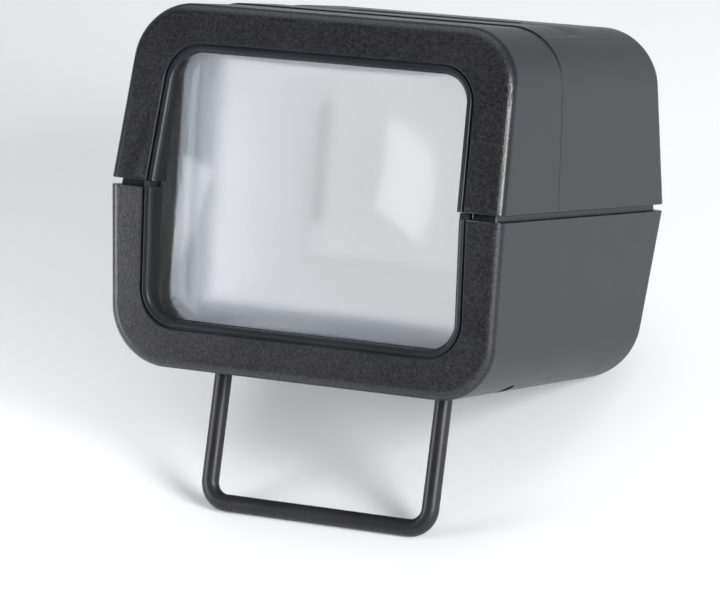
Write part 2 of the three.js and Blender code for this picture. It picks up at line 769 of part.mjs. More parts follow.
const body = addPart('lower_shell', lowerShell(), colours.shell);
addPart('upper_front_frame', upperFrontFrame(), colours.shell);
addPart('rear_cover', rearCover(), colours.shell);
addPart('lens', lensSolid(0), colours.glass, 0.4);
addPart('lens_retainer', lensRetainer(), colours.whitePlastic);
addPart('light_shaft', lightShaft(), colours.whitePlastic);
addPart('slide_gate_front', gateFront(), colours.whitePlastic);
addPart('slide_gate_rear', gateRear(), colours.whitePlastic);
addPart('slide_carrier', slideCarrier(), colours.whitePlastic);
for (const [name, side] of [['left', -1], ['right', 1]]) {
  addPart(`slide_spring_${name}`, slideLeaf(side), colours.spring);
  addPart(`carrier_spring_${name}`, carrierCoil(side), colours.spring);
}
addPart('diffuser', box(
  [-diffuser.half, diffuser.half], [diffuser.front, diffuser.front + diffuser.thickness],
  [lampZ - diffuser.half, lampZ + diffuser.half],
), colours.opal);
addPart('lamp_house', lampHouseSolid(), colours.whitePlastic);
addPart('lamp_socket', lampSocket(), colours.blackPlastic);
addPart('bulb_base', bulbBase(), colours.brass);
addPart('bulb_glass', bulbGlass(), colours.glass, 0.4);
addPart('lamp_strip', lampStrip(), colours.brass);
addPart('switch_block', switchBlock(), colours.blackPlastic);
addPart('switch_leaf', switchLeaf(), colours.brass);
addPart('contact_positive', contactPositive(), colours.brass);
addPart('contact_negative', contactNegative(), colours.brass);
addPart('contact_link', contactLink(), colours.brass);
addPart('battery_tray', batteryTray(), colours.blackPlastic);
addPart('battery_1', batteryCell(0, 1), colours.cell);
addPart('battery_2', batteryCell(1, -1), colours.cell);
for (const [name, side] of [['left', -1], ['right', 1]]) {
  addPart(`housing_screw_${name}`, housingScrewSolid(side), colours.steel);
  addPart(`retainer_screw_upper_${name}`, retainerScrewSolid(side, 1), colours.steel);
  addPart(`retainer_screw_lower_${name}`, retainerScrewSolid(side, -1), colours.steel);
}

const stand = addPart('wire_stand', standGeometry(), colours.wire);
stand.position.set(0, pivot.y, pivot.z);
stand.rotation.x = -THREE.MathUtils.degToRad(wire.lean);

// ---- Stance ----

// Height of a mesh's lowest point once the level group leans back by an angle.
function lowestPoint(mesh, angle) {
  mesh.updateMatrix();
  const turn = new THREE.Matrix4().makeRotationX(-angle).multiply(mesh.matrix);
  return new THREE.Box3().setFromBufferAttribute(
    mesh.geometry.clone().applyMatrix4(turn).attributes.position,
  ).min.z;
}

// The body leans back until the foot bar and the lower rear edge reach the same level.
function stanceAngle(foot, body) {
  let low = THREE.MathUtils.degToRad(15);
  let high = THREE.MathUtils.degToRad(35);
  for (let i = 0; i < 40; i += 1) {
    const middle = (low + high) / 2;
    if (lowestPoint(foot, middle) < lowestPoint(body, middle)) low = middle;
    else high = middle;
  }
  return low;
}

const slideViewer = new THREE.Group();
level.rotation.x = -stanceAngle(stand, body);
slideViewer.add(level);
slideViewer.updateMatrixWorld(true);
const bounds = new THREE.Box3().setFromObject(slideViewer, true);
level.position.set(
  -(bounds.min.x + bounds.max.x) / 2, -(bounds.min.y + bounds.max.y) / 2, -bounds.min.z,
);

export default slideViewer;
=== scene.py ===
import json
import math

import bpy
from mathutils import Matrix, Vector


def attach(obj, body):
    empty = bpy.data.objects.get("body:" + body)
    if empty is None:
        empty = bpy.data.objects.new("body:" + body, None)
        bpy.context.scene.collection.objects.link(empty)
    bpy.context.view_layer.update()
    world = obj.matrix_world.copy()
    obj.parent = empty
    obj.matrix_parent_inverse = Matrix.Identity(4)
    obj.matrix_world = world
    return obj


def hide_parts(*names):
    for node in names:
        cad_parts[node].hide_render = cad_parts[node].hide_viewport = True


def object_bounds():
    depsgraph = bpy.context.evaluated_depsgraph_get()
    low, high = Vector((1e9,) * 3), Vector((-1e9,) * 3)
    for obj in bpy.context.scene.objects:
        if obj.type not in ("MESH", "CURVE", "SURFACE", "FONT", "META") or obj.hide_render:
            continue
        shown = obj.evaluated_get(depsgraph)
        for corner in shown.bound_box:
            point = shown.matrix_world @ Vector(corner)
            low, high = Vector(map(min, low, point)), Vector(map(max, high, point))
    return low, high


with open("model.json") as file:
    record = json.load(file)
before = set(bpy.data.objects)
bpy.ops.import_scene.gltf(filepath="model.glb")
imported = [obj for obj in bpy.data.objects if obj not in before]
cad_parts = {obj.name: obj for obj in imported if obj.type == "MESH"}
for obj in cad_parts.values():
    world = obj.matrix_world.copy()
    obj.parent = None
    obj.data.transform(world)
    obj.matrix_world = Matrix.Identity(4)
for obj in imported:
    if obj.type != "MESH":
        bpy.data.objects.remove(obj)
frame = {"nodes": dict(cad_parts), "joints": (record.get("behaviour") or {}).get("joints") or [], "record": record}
cadLow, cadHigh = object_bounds()
print("frame loaded", [round(side, 4) for side in cadHigh - cadLow])


# The bench: the viewer is drawn level, in millimetres, front ridge at y = 0, seam at z = 0.
# benchToRow leans it back on its stand and turns it into metres.
restFace = next(mount for mount in frame["record"]["mounts"] if mount["name"] == "bottom_face")
coverLift = next(joint for joint in frame["joints"] if joint["name"] == "rear_cover_lift")
standHinge = next(joint for joint in frame["joints"] if joint["name"] == "stand_hinge")
levelUp = Vector(coverLift["axis"])
leanBack = math.atan2(levelUp.y, levelUp.z)
restOnBench = Vector((0, 78, -43.5))  # where the rest face's point is on the bench
benchToRow = (
    Matrix.Translation(Vector(restFace["pos_m"]))
    @ Matrix.Rotation(-leanBack, 4, "X")
    @ Matrix.Scale(0.001, 4)
    @ Matrix.Translation(-restOnBench)
)
rowToBench = benchToRow.inverted()


def benchBox(node):
    # lowest and highest corner of a CAD node on the bench
    points = [rowToBench @ vertex.co for vertex in frame["nodes"][node].data.vertices]
    low = Vector(min(point[axis] for point in points) for axis in range(3))
    high = Vector(max(point[axis] for point in points) for axis in range(3))
    return low, high


lowerLow, lowerHigh = benchBox("lower_shell")
frameLow, frameHigh = benchBox("upper_front_frame")
coverLow, coverHigh = benchBox("rear_cover")
retainerLow, retainerHigh = benchBox("lens_retainer")
lensLow, lensHigh = benchBox("lens")
hingeOnBench = rowToBench @ Vector(standHinge["pos_m"])

body = dict(
    seam=frameLow.z * 2,  # open gap between lower and upper half
    wall=2.0,
    clear=0.3,
    depth=103.87,
    joint=frameHigh.y,
    softEdge=0.22,  # small rounding of every parting edge
    cornerSteps=18,
    edgeSteps=7,
)
lowerHalf = dict(up=-1, height=-lowerLow.z, radius=14.2, side=0.035, front=0.08, rear=0.21)
frameHalf = dict(up=1, height=frameHigh.z, radius=13.8, side=0.047, front=0.15, rear=0.2)
coverHalf = dict(frameHalf, height=coverHigh.z)
body["halfWidth"] = frameHigh.x + frameHalf["side"] * body["seam"] / 2
body["frontRound"] = 2.4
body["rearRound"] = 4.0

window = dict(
    halfWidth=39.8,
    halfHeight=31.8,
    radius=7.0,
    rim=2.2,  # from the opening's edge out to the grained face
    grooveWidth=0.55,
    grooveDepth=0.75,
    grooveEdge=0.3,  # rounding between face and groove
    crown=0.12,  # how far the lip stands back from the face
    shoulder=0.35,
    topShare=0.955,  # upper half's window: width of the opening's top and of its bottom,
    bottomShare=1.012,  # as shares of the plain width
)
lensShape = dict(
    frontRadius=400.0, rearRadius=88.0, front=lensLow.y, back=lensHigh.y,
    grow=lensHigh.x - window["halfWidth"],
)


# ---- tools of the bench ----

def deselectAll():
    if bpy.context.object and bpy.context.object.mode == "EDIT":
        bpy.ops.object.mode_set(mode="OBJECT")
    for item in bpy.context.selected_objects:
        item.select_set(False)


def takeUp(piece):
    # makes the piece the only selected one
    deselectAll()
    bpy.context.view_layer.objects.active = piece
    piece.select_set(True)


def pick(piece, kind, test):
    # selects what passes the test, by place and direction, and stays in edit mode
    takeUp(piece)
    mesh = piece.data
    for items in (mesh.vertices, mesh.edges, mesh.polygons):
        items.foreach_set("select", [False] * len(items))
    bpy.context.tool_settings.mesh_select_mode = (kind == "VERT", kind == "EDGE", kind == "FACE")
    if kind == "VERT":
        for vertex in mesh.vertices:
            vertex.select = test(vertex.co)
    elif kind == "EDGE":
        for edge in mesh.edges:
            start, end = (mesh.vertices[index].co for index in edge.vertices)
            edge.select = test((start + end) / 2, (end - start).normalized())
    else:
        for face in mesh.polygons:
            face.select = test(face.center, face.normal)
    bpy.ops.object.mode_set(mode="EDIT")


def leaveEdit():
    bpy.ops.object.mode_set(mode="OBJECT")


def roundPicked(radius, steps, corner="SHARP"):
    bpy.ops.mesh.bevel(
        offset=radius, offset_type="OFFSET", segments=steps, profile=0.5, affect="EDGES",
        clamp_overlap=False, miter_outer=corner,
    )
    leaveEdit()


def addBox(name, low, high):
    deselectAll()
    low, high = Vector(low), Vector(high)
    bpy.ops.mesh.primitive_cube_add(size=1, location=(low + high) / 2)
    piece = bpy.context.object
    piece.name = name
    piece.scale = high - low
    bpy.ops.object.transform_apply(location=True, rotation=True, scale=True)
    return piece


def addRod(name, radius, start, end, sides=32):
    # a round bar from one point to another
    deselectAll()
    start, end = Vector(start), Vector(end)
    run = end - start
    bpy.ops.mesh.primitive_cylinder_add(vertices=sides, radius=radius, depth=run.length)
    piece = bpy.context.object
    piece.name = name
    turned = run.to_track_quat("Z", "Y").to_matrix().to_4x4()
    piece.matrix_world = Matrix.Translation((start + end) / 2) @ turned
    bpy.ops.object.transform_apply(location=True, rotation=True, scale=True)
    return piece


def combine(piece, tools, operation):
    for tool in tools:
        takeUp(piece)
        bpy.ops.object.modifier_add(type="BOOLEAN")
        modifier = piece.modifiers[-1]
        modifier.object = tool
        modifier.operation = operation
        modifier.solver = "MANIFOLD"
        bpy.ops.object.modifier_apply(modifier=modifier.name)
        bpy.data.objects.remove(tool)
    return piece


def cut(piece, *tools):
    return combine(piece, tools, "DIFFERENCE")


def add(piece, *tools):
    return combine(piece, tools, "UNION")


def keepInside(piece, *tools):
    return combine(piece, tools, "INTERSECT")


def slice(piece, place, away):
    # cuts off what lies past a plane, on the side that away points to
    pick(piece, "FACE", lambda centre, normal: True)
    bpy.ops.mesh.bisect(plane_co=place, plane_no=away, use_fill=True, clear_outer=True, threshold=0.0001)
    leaveEdit()
    return piece


def turnOver(piece):
    # half a turn about the Y axis through the seam
    takeUp(piece)
    piece.rotation_euler = (0, math.pi, 0)
    bpy.ops.object.transform_apply(location=True, rotation=True, scale=True)
    return piece


def slant(piece, slope):
    # leans a cutter's depth with the height, as the bezel's face does
    lean = Matrix.Identity(4)
    lean[1][2] = slope
    piece.data.transform(lean)
    return piece


def smoothPiece(piece, angle=32):
    takeUp(piece)
    bpy.ops.object.shade_smooth_by_angle(angle=math.radians(angle))
    bpy.ops.object.modifier_add(type="WEIGHTED_NORMAL")
    modifier = piece.modifiers[-1]
    modifier.keep_sharp = True
    modifier.weight = 60
    bpy.ops.object.modifier_apply(modifier=modifier.name)


def place(piece, bodyName, slotName, *nodes):
    # from the bench to its place in the row, riding on its body
    takeUp(piece)
    piece.matrix_world = benchToRow
    bpy.ops.object.transform_apply(location=True, rotation=True, scale=True)
    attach(piece, bodyName)
    if nodes:
        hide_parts(*nodes)
    return piece


# ---- body halves ----

def halfSolid(name, half, inset, edgeSteps=None):
    # one half of the body as a solid, a little past the seam
    steps = edgeSteps or body["edgeSteps"]
    pastSeam = 8
    width = body["halfWidth"] - inset
    height = half["height"] - inset
    piece = addBox(name, (-width, -12, -pastSeam), (width, body["depth"] + 12, height))
    edges = (height, width - half["side"] * height), (-pastSeam, width + half["side"] * pastSeam)
    for level, edgeWidth in edges:
        pick(piece, "VERT", lambda spot, level=level: abs(spot.z - level) < 0.01)
        bpy.ops.transform.resize(value=(edgeWidth / width, 1, 1), center_override=(0, 0, level))
        leaveEdit()
    turn = math.pi / 2 - math.atan(half["side"])
    pick(piece, "EDGE", lambda centre, way: centre.z > height - 0.01 and abs(way.y) > 0.9)
    roundPicked((half["radius"] - inset) * math.tan(turn / 2), body["cornerSteps"])
    front = Vector((0, inset, 0)), Vector((0, -1, half["front"])).normalized()
    rear = Vector((0, body["depth"] - inset, 0)), Vector((0, 1, half["rear"])).normalized()
    for (spot, away), rounding in ((front, body["frontRound"]), (rear, body["rearRound"])):
        slice(piece, spot, away)
        pick(piece, "EDGE", lambda centre, way, spot=spot, away=away: (
            abs((centre - spot).dot(away)) < 0.02
            and abs(way.dot(away)) < 0.01
            and centre.z > 0.1 - pastSeam))
        roundPicked(max(rounding - inset, 0.4), steps)
    return turnOver(piece) if half["up"] < 0 else piece


def softenPlane(piece, spot, away, width=None):
    # rounds the edges that a parting plane has left
    pick(piece, "EDGE", lambda centre, way: (
        abs((centre - Vector(spot)).dot(Vector(away))) < 0.005 and abs(way.dot(Vector(away))) < 0.01))
    roundPicked(width or body["softEdge"], 3)


def roundedPrism(name, grow, front, rear, steps=14):
    # a straight prism as the window, grown outwards
    width, height = window["halfWidth"] + grow, window["halfHeight"] + grow
    piece = addBox(name, (-width, front, -height), (width, rear, height))
    pick(piece, "EDGE", lambda centre, way: abs(way.y) > 0.9)
    roundPicked(window["radius"] + max(grow, 0), steps)
    return piece


def stepArc(radius, startDegrees, outward, steps=6):
    # turns a cutter's rear face through part of a quarter round, by small insets and shifts
    def spot(turn):
        if outward:  # flat first, then steep
            return radius * math.sin(turn), radius * (1 - math.cos(turn))
        return radius * (1 - math.cos(turn)), -radius * math.sin(turn)
    start = math.radians(startDegrees)
    turns = [start + (math.pi / 2 - start) * step / steps for step in range(steps + 1)]
    for before, after in zip(turns, turns[1:]):
        across = spot(after)[0] - spot(before)[0]
        along = spot(after)[1] - spot(before)[1]
        bpy.ops.mesh.inset(thickness=across, depth=0, use_even_offset=True)
        bpy.ops.transform.translate(value=(0, along, 0))


def rimCutter(half):
    # takes out the window with its groove and its rounded lip, all slanted with the face
    groove, rim, edge, shoulder = (window[key] for key in ("grooveDepth", "rim", "grooveEdge", "shoulder"))
    lip = rim - window["grooveWidth"]
    cosStart = math.cos(math.radians(15))
    sinStart = math.sin(math.radians(15))
    piece = roundedPrism("cutter", rim + edge * (1 - sinStart), -6, edge * (1 - cosStart))
    pick(piece, "FACE", lambda centre, normal: normal.y > 0.9)
    stepArc(edge, 15, True)
    bpy.ops.mesh.extrude_region_move(TRANSFORM_OT_translate={"value": (0, groove - edge, 0)})
    bpy.ops.mesh.inset(thickness=window["grooveWidth"], depth=0, use_even_offset=True)
    rise = groove - window["crown"] - shoulder
    bpy.ops.mesh.extrude_region_move(TRANSFORM_OT_translate={"value": (0, -rise, 0)})
    stepArc(shoulder, 0, False)
    stepArc(lip - shoulder, 0, True)
    bpy.ops.mesh.extrude_region_move(TRANSFORM_OT_translate={"value": (0, 16, 0)})
    if half["up"] > 0:  # the opening narrows upwards like the body
        for sign, share in ((1, window["topShare"]), (-1, window["bottomShare"])):
            leaveEdit()
            pick(piece, "VERT", lambda spot: sign * spot.z > 0)
            bpy.ops.transform.resize(value=(share, 1, 1), center_override=(0, 0, 0))
    leaveEdit()
    return slant(piece, half["up"] * half["front"])


def sphereAlongY(name, radius, centreY, rings):
    deselectAll()
    bpy.ops.mesh.primitive_uv_sphere_add(
        segments=128, ring_count=rings, radius=radius, location=(0, centreY, 0), rotation=(math.pi / 2, 0, 0))
    piece = bpy.context.object
    piece.name = name
    bpy.ops.object.transform_apply(location=True, rotation=True, scale=True)
    return piece


def lensPocket():
    piece = roundedPrism("cutter", lensShape["grow"] + body["clear"], 0, 60)
    radius = lensShape["frontRadius"] + body["clear"]
    return keepInside(piece, sphereAlongY("ball", radius, lensShape["front"] + lensShape["frontRadius"], 150))


lensSeat = dict(grow=2.8, front=0.25, behind=0.5)  # the wall round the lens
retainerScrew = dict(
    x=44.6,
    z=24.0,
    half=1.9,  # boss: from the screw's middle inwards
    reach=3.0,  # boss: up and down from the middle
    bossFront=1.0,
    bossBack=2.3,
    holeFront=13.2,
    holeBack=0.8,
)
housingScrew = dict(
    x=41.5,
    y=30.0,
    head=-37.0,
    postFoot=5.5,
    postTop=35.5,
    ribTop=30.0,
    ribHalf=1.0,
    ribEnd=1.5,  # how far the rib stops inside the body's side
    holeFoot=-9.0,
    holeTop=13.0,
    lowerPostTop=-8.0,
    wellFoot=-50.0,
    lowerHoleFoot=-45.0,
)
screwSize = dict(radius=1.2, head=2.5, boss=3.1)


def lensWall(outer):
    wall = roundedPrism("rim", lensSeat["grow"], lensSeat["front"], retainerLow.y - lensSeat["behind"])
    return keepInside(wall, copyOf(outer))


def copyOf(piece):
    takeUp(piece)
    bpy.ops.object.duplicate()
    return bpy.context.object


def retainerBosses(half, outer):
    rear = retainerHigh.y - retainerScrew["bossBack"]
    reach = retainerScrew["reach"]
    bosses = []
    for side in (-1, 1):
        inner = side * (retainerScrew["x"] - retainerScrew["half"])
        outerX = side * (body["halfWidth"] - 1)
        low = min(inner, outerX)
        high = max(inner, outerX)
        levels = sorted(half["up"] * (retainerScrew["z"] + way * reach) for way in (-1, 1))
        boss = addBox("boss", (low, retainerScrew["bossFront"], levels[0]), (high, rear, levels[1]))
        bosses.append(keepInside(boss, copyOf(outer)))
    return bosses


def retainerHoles(half):
    hole = screwSize["radius"] + body["clear"]
    ends = retainerHigh.y - retainerScrew["holeFront"], retainerHigh.y + retainerScrew["holeBack"]
    return [
        addRod("hole", hole, (side * retainerScrew["x"], ends[0], half["up"] * retainerScrew["z"]),
               (side * retainerScrew["x"], ends[1], half["up"] * retainerScrew["z"]))
        for side in (-1, 1)
    ]


def frontFrame():
    outer = halfSolid("upperFrontFrame", frameHalf, 0)
    slice(outer, (0, 0, body["seam"] / 2), (0, 0, -1))
    slice(outer, (0, body["joint"], 0), (0, 1, 0))
    softenPlane(outer, (0, 0, body["seam"] / 2), (0, 0, 1))
    softenPlane(outer, (0, body["joint"], 0), (0, 1, 0))
    blank = copyOf(outer)
    cut(outer, halfSolid("hollow", frameHalf, body["wall"], 3))
    add(outer, lensWall(blank), *retainerBosses(frameHalf, blank))
    for side in (-1, 1):
        x, y = side * housingScrew["x"], housingScrew["y"]
        foot, ribHalf = housingScrew["postFoot"], housingScrew["ribHalf"]
        post = addRod("post", screwSize["boss"], (x, y, foot), (x, y, housingScrew["postTop"]))
        ribEnds = sorted((x, side * (body["halfWidth"] - housingScrew["ribEnd"])))
        rib = addBox(
            "rib", (ribEnds[0], y - ribHalf, foot), (ribEnds[1], y + ribHalf, housingScrew["ribTop"]))
        add(outer, keepInside(post, copyOf(blank)), keepInside(rib, copyOf(blank)))
        hole = addRod("hole", screwSize["radius"] + body["clear"],
                      (x, y, housingScrew["holeFoot"]), (x, y, housingScrew["holeTop"]))
        cut(outer, hole)
    bpy.data.objects.remove(blank)
    cut(outer, rimCutter(frameHalf), lensPocket(), *retainerHoles(frameHalf))
    return outer


tongue = dict(inset=2.3, thickness=1.4, top=4.5, bottom=-6.0, mouth=3.2)
filler = dict(inner=0.35, outer=2.1, front=0.75, rear=4.2, foot=-1.5, below=0.15)


def seamTongue():
    # the band that closes the seam from inside
    ring = halfSolid("tongue", frameHalf, tongue["inset"], 3)
    slice(ring, (0, 0, tongue["top"]), (0, 0, 1))
    slice(ring, (0, 0, tongue["bottom"]), (0, 0, -1))
    bore = halfSolid("bore", frameHalf, tongue["inset"] + tongue["thickness"], 3)
    cut(ring, bore, roundedPrism("cutter", tongue["mouth"], -10, 40))
    return ring


standWire = dict(radius=2.1, legX=29.2, legLength=36.0, bend=5.0, topBend=3.0, stub=35.0, lean=6.83)
recess = dict(
    half=2.6,
    front=22.1,
    top=-38.0,
    skin=1.0,
    bore=2.4,
    floor=0.5,  # housing, above the shell's lowest face
    ceiling=0.8,  # housing, above the recess
    bearingFront=1.5,
    bearingRear=4.5,
    bearingEnd=1.5,
)


def recessTools(grow, low, high, barY):
    # the U of the folded wire: two legs and the bar
    half = recess["half"] + grow
    front = recess["front"] - grow * 1.2
    middles = [side * standWire["legX"] for side in (-1, 1)]
    legs = [addBox("leg", (x - half, front, low), (x + half, barY, high)) for x in middles]
    reach = standWire["legX"] + half
    bar = addBox("bar", (-reach, barY - half, low), (reach, barY + half, high))
    return legs + [bar]


def recessBends(barY):
    # relief for the wire's bends in the recess's two inner corners
    radius = standWire["bend"] - recess["half"]
    inner, near = standWire["legX"] - recess["half"], barY - recess["half"]
    reliefs = []
    for side in (-1, 1):
        ends = sorted((side * inner, side * (inner - radius)))
        relief = addBox("relief", (ends[0], near - radius, -60), (ends[1], near, recess["top"]))
        middle = side * (inner - radius), near - radius
        cut(relief, addRod("corner", radius, (*middle, -61), (*middle, recess["top"] + 1), 48))
        reliefs.append(relief)
    return reliefs


def seamFillers():
    # closes the seam beside the window's lip
    fillers = []
    for side in (-1, 1):
        ends = sorted(side * (window["halfWidth"] + filler[edge]) for edge in ("inner", "outer"))
        top = body["seam"] / 2 - filler["below"]
        fillers.append(addBox(
            "filler", (ends[0], filler["front"], filler["foot"]), (ends[1], filler["rear"], top)))
    return fillers


def lowerShell():
    outer = halfSolid("lowerShell", lowerHalf, 0)
    slice(outer, (0, 0, -body["seam"] / 2), (0, 0, 1))
    softenPlane(outer, (0, 0, -body["seam"] / 2), (0, 0, 1))
    blank = copyOf(outer)
    cut(outer, halfSolid("hollow", lowerHalf, body["wall"], 3))
    add(outer, seamTongue(), lensWall(blank), *retainerBosses(lowerHalf, blank))
    barY = hingeOnBench.y + standWire["legLength"]
    floor, ceiling = -lowerHalf["height"] + recess["floor"], recess["top"] + recess["ceiling"]
    for tool in recessTools(recess["skin"], floor, ceiling, barY):
        add(outer, keepInside(tool, copyOf(blank)))
    for side in (-1, 1):
        ends = sorted((side * standWire["legX"], side * (standWire["stub"] + recess["bearingEnd"])))
        near, back = recess["front"] - recess["bearingFront"], hingeOnBench.y + recess["bearingRear"]
        bearing = addBox("bearing", (ends[0], near, floor), (ends[1], back, ceiling))
        add(outer, keepInside(bearing, copyOf(blank)))
        x, y = side * housingScrew["x"], housingScrew["y"]
        post = addRod("post", screwSize["boss"] + body["clear"],
                      (x, y, -lowerHalf["height"]), (x, y, housingScrew["lowerPostTop"]))
        add(outer, keepInside(post, copyOf(blank)))
        well = addRod("well", screwSize["head"] + body["clear"],
                      (x, y, housingScrew["wellFoot"]), (x, y, housingScrew["head"]), 48)
        hole = addRod("hole", screwSize["radius"] + body["clear"],
                      (x, y, housingScrew["lowerHoleFoot"]), (x, y, 0))
        cut(outer, well, hole)
    bpy.data.objects.remove(blank)
    cut(outer, *recessTools(0, -60, recess["top"], barY), *recessBends(barY))
    for side in (-1, 1):
        start = side * standWire["legX"]
        end = side * (standWire["stub"] + body["clear"])
        cut(outer, addRod("bore", recess["bore"], (start, hingeOnBench.y, hingeOnBench.z),
                          (end, hingeOnBench.y, hingeOnBench.z), 40))
    cut(outer, rimCutter(lowerHalf), lensPocket(), *retainerHoles(lowerHalf))
    add(outer, *seamFillers())
    return outer


slotShape = dict(
    front=52.0,
    rear=58.0,
    halfWidth=25.6,
    troughFloor=41.5,
    end=70.0,
    scoopHalf=24.0,
    scoopFloor=30.0,
    scoopRound=3.0,
    wall=2.4,  # the well's side walls
    wellFloor=27.8,
    wellEnd=42.0,
)


def profileX(name, points, halfLength):
    # an outline in Y and Z drawn out along X: a plane is put on its edge, its corners are
    # moved to the points and it is extruded
    deselectAll()
    bpy.ops.mesh.primitive_circle_add(vertices=len(points), radius=1, fill_type="NGON")
    piece = bpy.context.object
    piece.name = name
    for vertex, (y, z) in zip(piece.data.vertices, points):
        vertex.co = Vector((-halfLength, y, z))
    pick(piece, "FACE", lambda centre, normal: True)
    bpy.ops.mesh.extrude_region_move(TRANSFORM_OT_translate={"value": (2 * halfLength, 0, 0)})
    bpy.ops.mesh.select_all(action="SELECT")
    bpy.ops.mesh.normals_make_consistent(inside=False)
    leaveEdit()
    return piece


def rampPoints(low, top, past):
    # the trough's outline: a wall in front, a flat floor and a long rise to the rear
    floor = [(slotShape["front"], past), (slotShape["front"], low), (slotShape["rear"], low)]
    ramp = []
    steps = 8
    for step in range(1, steps):
        share = step / steps
        ease = share * share * (3 - 2 * share)
        y = slotShape["rear"] + (slotShape["end"] - slotShape["rear"]) * share
        ramp.append((y, low + (top - low) * (0.35 * share + 0.65 * ease)))
    return floor + ramp + [(slotShape["end"], top), (slotShape["end"], past)]


def rearCover():
    outer = halfSolid("rearCover", coverHalf, 0)
    joint = body["joint"] + body["clear"]
    slice(outer, (0, 0, body["seam"] / 2), (0, 0, -1))
    slice(outer, (0, joint, 0), (0, -1, 0))
    softenPlane(outer, (0, 0, body["seam"] / 2), (0, 0, 1))
    softenPlane(outer, (0, joint, 0), (0, 1, 0))
    blank = copyOf(outer)
    cut(outer, halfSolid("hollow", coverHalf, body["wall"], 3))
    past = 52
    front, rear, end = slotShape["front"], slotShape["rear"], slotShape["end"]
    floor, low = slotShape["wellFloor"], slotShape["troughFloor"] - 1.6
    well = profileX("well", [
        (front - 1.8, past), (front - 1.8, floor), (rear + 2, floor),
        (end + 3.5, slotShape["wellEnd"]), (end + 3.5, past),
    ], slotShape["halfWidth"] + slotShape["wall"])
    under = profileX("under", [
        (front - 2, past), (front - 2, low), (rear + 1, low),
        (end + 3, coverHalf["height"] - 1.8), (end + 3, past),
    ], 60)
    add(outer, keepInside(well, copyOf(blank)), keepInside(under, copyOf(blank)))
    bpy.data.objects.remove(blank)
    trough = profileX("trough", rampPoints(slotShape["troughFloor"], coverHalf["height"], past), 60)
    ramp = rampPoints(slotShape["scoopFloor"], coverHalf["height"], past)
    scoop = profileX("scoop", ramp, slotShape["scoopHalf"])
    pick(scoop, "EDGE", lambda centre, way: (
        abs(way.x) < 0.5 and abs(abs(centre.x) - slotShape["scoopHalf"]) < 0.01
        and centre.y > front + 0.1 and centre.z < past - 3))
    roundPicked(slotShape["scoopRound"], 5)
    slotWidth = slotShape["halfWidth"] + body["clear"]
    slot = addBox("slot", (-slotWidth, front, 20), (slotWidth, rear, past))
    cut(outer, trough, scoop, slot)
    return outer


# ---- lens and wire ----

def lensPiece():
    piece = roundedPrism("lensBody", lensShape["grow"], 0, 45, 20)
    front = sphereAlongY("ball", lensShape["frontRadius"], lensShape["front"] + lensShape["frontRadius"], 150)
    rear = sphereAlongY("ball", lensShape["rearRadius"], lensShape["back"] - lensShape["rearRadius"], 100)
    keepInside(piece, front, rear)
    return piece


def wirePiece():
    # a disc at one stub is drawn along the wire and turned about the centre of each bend
    deselectAll()
    bpy.ops.mesh.primitive_circle_add(
        vertices=28, radius=standWire["radius"], fill_type="NGON",
        location=(-standWire["stub"], 0, 0), rotation=(0, math.pi / 2, 0))
    piece = bpy.context.object
    piece.name = "standWire"
    bpy.ops.object.transform_apply(location=True, rotation=True, scale=True)
    legX, length = standWire["legX"], standWire["legLength"]
    top, low = standWire["topBend"], standWire["bend"]

    def straight(x, z):
        bpy.ops.mesh.extrude_region_move(TRANSFORM_OT_translate={"value": (x, 0, z)})

    def bend(x, z, clockwise, steps):
        bpy.ops.mesh.spin(
            steps=steps, angle=math.pi / 2, center=(x, 0, z), axis=(0, -1 if clockwise else 1, 0))

    pick(piece, "FACE", lambda centre, normal: True)
    straight(standWire["stub"] - legX - top, 0)
    bend(-legX - top, -top, True, 8)
    straight(0, -(length - top - low))
    bend(-legX + low, -length + low, False, 12)
    straight(2 * (legX - low), 0)
    bend(legX - low, -length + low, False, 12)
    straight(0, length - top - low)
    bend(legX + top, -top, True, 8)
    straight(standWire["stub"] - legX - top, 0)
    bpy.ops.mesh.select_all(action="SELECT")
    bpy.ops.mesh.remove_doubles(threshold=0.001)
    bpy.ops.mesh.normals_make_consistent(inside=False)
    leaveEdit()
    pick(piece, "EDGE", lambda centre, way: abs(abs(centre.x) - standWire["stub"]) < 0.001)
    roundPicked(0.4, 3)
    piece.location = hingeOnBench
    piece.rotation_euler = (-math.radians(standWire["lean"]), 0, 0)
    takeUp(piece)
    bpy.ops.object.transform_apply(location=True, rotation=True, scale=True)
    return piece


print("body halves")
upperFrontFrame = frontFrame()
print("front frame", len(upperFrontFrame.data.polygons))
lowerBody = lowerShell()
print("lower shell", len(lowerBody.data.polygons))
coverPiece = rearCover()
print("rear cover", len(coverPiece.data.polygons))
lensGlass = lensPiece()
print("lens", len(lensGlass.data.polygons))
wire = wirePiece()
print("stand wire", len(wire.data.polygons))

for piece in (upperFrontFrame, lowerBody, coverPiece):
    smoothPiece(piece)
smoothPiece(lensGlass, 40)
smoothPiece(wire, 50)
place(upperFrontFrame, "root", "shell", "upper_front_frame")
place(lowerBody, "root", "shell", "lower_shell")
place(coverPiece, "rear_cover", "shell", "rear_cover")
place(lensGlass, "root", "lens", "lens")
place(wire, "stand", "wire", "wire_stand")

inner = dict(bevel=0.00012, angle=28, flat=2)  # metres, and degrees


